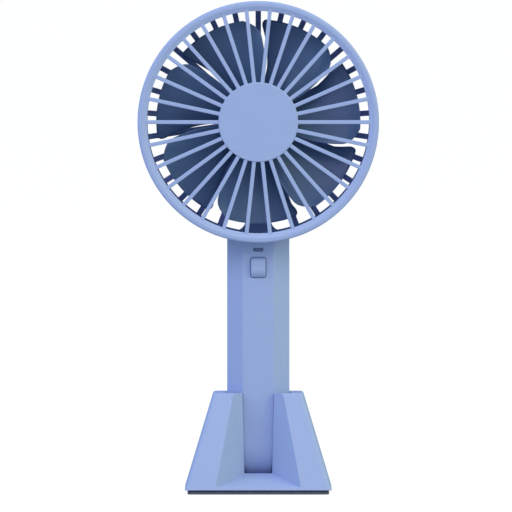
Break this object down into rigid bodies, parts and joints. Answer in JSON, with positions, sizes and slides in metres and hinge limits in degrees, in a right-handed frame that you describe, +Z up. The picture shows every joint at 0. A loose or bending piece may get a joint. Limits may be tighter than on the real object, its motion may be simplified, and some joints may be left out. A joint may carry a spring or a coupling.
{
  "type": "handheld electric fan",
  "caption": "Battery hand fan with a round spoked grille, a bladed impeller on a brushless motor, an eight-sided handle with a push button, and a weighted desk base it lifts out of.",
  "frame": {"origin": "on the table, under the middle of the base", "axes": "+Z up along the handle, -Y out of the front grille towards the user, +X to the right as the user sees it"},
  "size_m": [0.1, 0.058, 0.204],
  "materials": {
    "shell": "fine satin moulding",
    "impeller": "semi-gloss moulding",
    "rubber": "matt non-slip pad",
    "lens": "smoked light pipe",
    "steel": "plated",
    "iron": "dull",
    "ferrite": "dull ceramic magnet",
    "copper": "enamelled winding wire",
    "brass": "turned",
    "circuit_board": "solder mask",
    "cell_wrap": "shrink-wrapped can",
    "foam": "pale",
    "wire_red": "insulation",
    "wire_black": "insulation and switch body"
  },
  "bodies": {
    "base": {"base_shell": "shell", "base_plate": "shell", "ballast": "iron", "foot_pad": "rubber", "base_screw_1": "steel", "base_screw_2": "steel", "base_screw_3": "steel", "base_screw_4": "steel"},
    "fan_body": {"front_grille": "shell", "head_housing": "shell", "motor_base": "brass", "stator_core": "iron", "stator_coil_1": "copper", "stator_coil_2": "copper", "stator_coil_3": "copper", "stator_coil_4": "copper", "stator_coil_5": "copper", "stator_coil_6": "copper", "motor_board": "circuit_board", "front_bearing": "steel", "rear_bearing": "steel", "motor_screw_1": "steel", "motor_screw_2": "steel", "motor_screw_3": "steel", "motor_lead_red": "wire_red", "motor_lead_black": "wire_black", "handle_front": "shell", "handle_rear": "shell", "neck_screw_left": "steel", "neck_screw_right": "steel", "handle_screw": "steel", "battery_cell": "cell_wrap", "top_tab": "steel", "bottom_tab": "steel", "cell_pad": "foam", "cell_lead_red": "wire_red", "cell_lead_black": "wire_black", "control_board": "circuit_board", "boost_inductor": "ferrite", "indicator_led": "foam", "switch_body": "wire_black", "charging_port": "steel", "light_pipe": "lens"},
    "rotor": {"impeller": "impeller", "rotor_yoke": "steel", "magnet_ring": "ferrite", "motor_shaft": "steel", "retaining_clip": "steel"},
    "button": {"button_cap": "shell", "switch_plunger": "wire_black"}
  },
  "joints": [
    {"name": "lift_out", "type": "slide", "parent": "base", "child": "fan_body", "axis": [0, 0, 1], "range_m": [0, 0.05]},
    {"name": "impeller_spin", "type": "hinge", "parent": "fan_body", "child": "rotor", "pos_m": [0, 0, 0.154], "axis": [0, -1, 0], "continuous": true},
    {"name": "button_press", "type": "slide", "parent": "fan_body", "child": "button", "axis": [0, 1, 0], "range_m": [0, 0.0005], "stiffness_N_per_m": 900, "springref_m": -0.0005}
  ]
}
